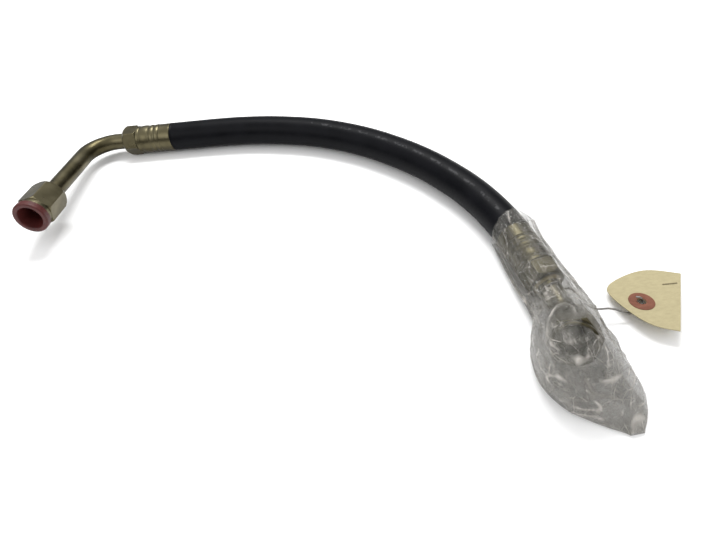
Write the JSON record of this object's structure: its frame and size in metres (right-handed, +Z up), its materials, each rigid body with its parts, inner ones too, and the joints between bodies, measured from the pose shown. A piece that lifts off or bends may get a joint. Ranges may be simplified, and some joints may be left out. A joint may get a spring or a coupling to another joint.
{
  "type": "hydraulic hose assembly",
  "caption": "Braided rubber hydraulic hose with a crimped bent-tube swivel fitting at each end, one nut plugged, the other in a clear bag with a wired card tag.",
  "frame": {"origin": "on the ground plane under the centre of the box round the fittings, bag and tag", "axes": "+Z up, the hose lies flat; end A is towards -X and +Y, end B towards +X and -Y, and the tag points along +X"},
  "size_m": [0.4074, 0.3264, 0.0475],
  "materials": {
    "cover_rubber": "satin black cover",
    "wire": "bright drawn wire",
    "liner_rubber": "matt black nitrile",
    "zinc": "yellow-chromate zinc plating, satin",
    "braze": "brazing metal",
    "spring_wire": "hard drawn wire",
    "red_plastic": "red polyethylene",
    "film": "clear polyethylene film",
    "card": "manila card",
    "patch": "fibre patch"
  },
  "bodies": {
    "hose_and_fittings": {"hose_cover": "cover_rubber", "outer_wire_braid": "wire", "inner_wire_braid": "wire", "hose_liner": "liner_rubber", "ferrule_a": "zinc", "hose_stem_a": "zinc", "stem_braze_a": "braze", "bent_tube_a": "zinc", "nose_braze_a": "braze", "cone_nose_a": "zinc", "retaining_wire_a": "spring_wire", "ferrule_b": "zinc", "hose_stem_b": "zinc", "stem_braze_b": "braze", "bent_tube_b": "zinc", "nose_braze_b": "braze", "cone_nose_b": "zinc", "retaining_wire_b": "spring_wire", "tag_wire": "spring_wire"},
    "nut_a": {"swivel_nut_a": "zinc"},
    "plug": {"dust_plug": "red_plastic"},
    "nut_b": {"swivel_nut_b": "zinc"},
    "bag": {"poly_bag": "film", "bag_corner": "film"},
    "tag": {"tag_card": "card", "tag_patch_front": "patch", "tag_patch_back": "patch"}
  },
  "joints": [
    {"name": "nut_a_spin", "type": "hinge", "parent": "hose_and_fittings", "child": "nut_a", "pos_m": [-0.19131, 0.05691, 0.02607], "axis": [-0.172, -0.9752, 0.1392], "continuous": true},
    {"name": "plug_pull", "type": "slide", "parent": "nut_a", "child": "plug", "axis": [-0.172, -0.9752, 0.1392], "range_m": [0, 0.04]},
    {"name": "nut_b_spin", "type": "hinge", "parent": "hose_and_fittings", "child": "nut_b", "pos_m": [0.11404, -0.12901, 0.03369], "axis": [-0.3493, -0.7477, 0.5647], "continuous": true},
    {"name": "bag_pull", "type": "slide", "parent": "hose_and_fittings", "child": "bag", "axis": [0.1045, -0.9945, 0], "range_m": [0, 0.15], "deforming": ["poly_bag"]},
    {"name": "tag_swing", "type": "hinge", "parent": "hose_and_fittings", "child": "tag", "pos_m": [0.17073, -0.09552, 0.0053], "axis": [0.0749, 0.149, 0.986], "range_deg": [-30, 5]}
  ]
}
